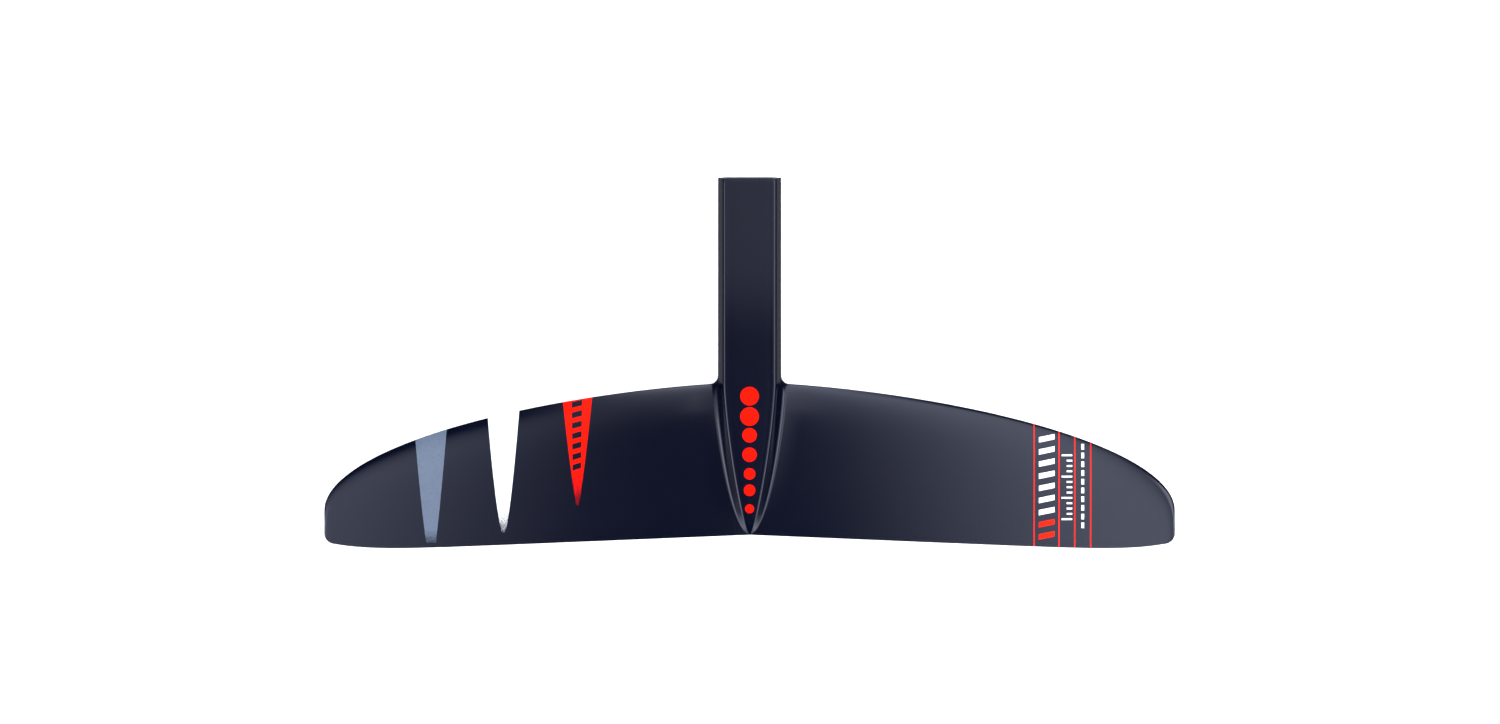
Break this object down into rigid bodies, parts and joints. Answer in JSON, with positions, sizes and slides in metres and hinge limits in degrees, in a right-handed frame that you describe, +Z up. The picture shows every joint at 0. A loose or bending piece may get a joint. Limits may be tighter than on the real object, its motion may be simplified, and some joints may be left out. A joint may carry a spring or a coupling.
{
  "type": "hydrofoil tail wing",
  "caption": "Rear stabiliser wing of a hydrofoil, moulded in one with the straight square socket that slips over a fuselage end.",
  "frame": {"origin": "middle of the face that stops the fuselage inside the socket", "axes": "+X along the span to the right seen from above, +Y forward out of the socket's mouth, +Z up, away from the clamp screws"},
  "size_m": [0.4, 0.1741, 0.025],
  "materials": {
    "lacquered_laminate": "satin navy black lacquer over carbon laminate",
    "carbon_laminate": "bare cured carbon laminate",
    "glass_laminate": "bare cured glass laminate",
    "structural_foam": "closed-cell foam, machined",
    "stainless_steel": "stainless steel",
    "bush_bronze": "turned bronze"
  },
  "bodies": {
    "wing": {"upper_skin": "lacquered_laminate", "lower_skin": "lacquered_laminate", "upper_spar_cap": "carbon_laminate", "lower_spar_cap": "carbon_laminate", "spar_web": "structural_foam", "left_front_core": "structural_foam", "right_front_core": "structural_foam", "left_rear_core": "structural_foam", "right_rear_core": "structural_foam", "left_leading_edge_roving": "carbon_laminate", "right_leading_edge_roving": "carbon_laminate", "left_trailing_edge_strip": "glass_laminate", "right_trailing_edge_strip": "glass_laminate", "socket_sleeve": "carbon_laminate", "socket_liner": "glass_laminate", "socket_end_stop": "carbon_laminate", "tail_core": "structural_foam", "front_screw_bush": "bush_bronze", "rear_screw_bush": "bush_bronze"},
    "front_screw": {"front_clamp_screw": "stainless_steel"},
    "rear_screw": {"rear_clamp_screw": "stainless_steel"}
  },
  "joints": [
    {"name": "front_screw_travel", "type": "slide", "parent": "wing", "child": "front_screw", "axis": [0, 0, 1], "range_m": [-0.003, 0.001]},
    {"name": "rear_screw_travel", "type": "slide", "parent": "wing", "child": "rear_screw", "axis": [0, 0, 1], "range_m": [-0.003, 0.001]}
  ]
}
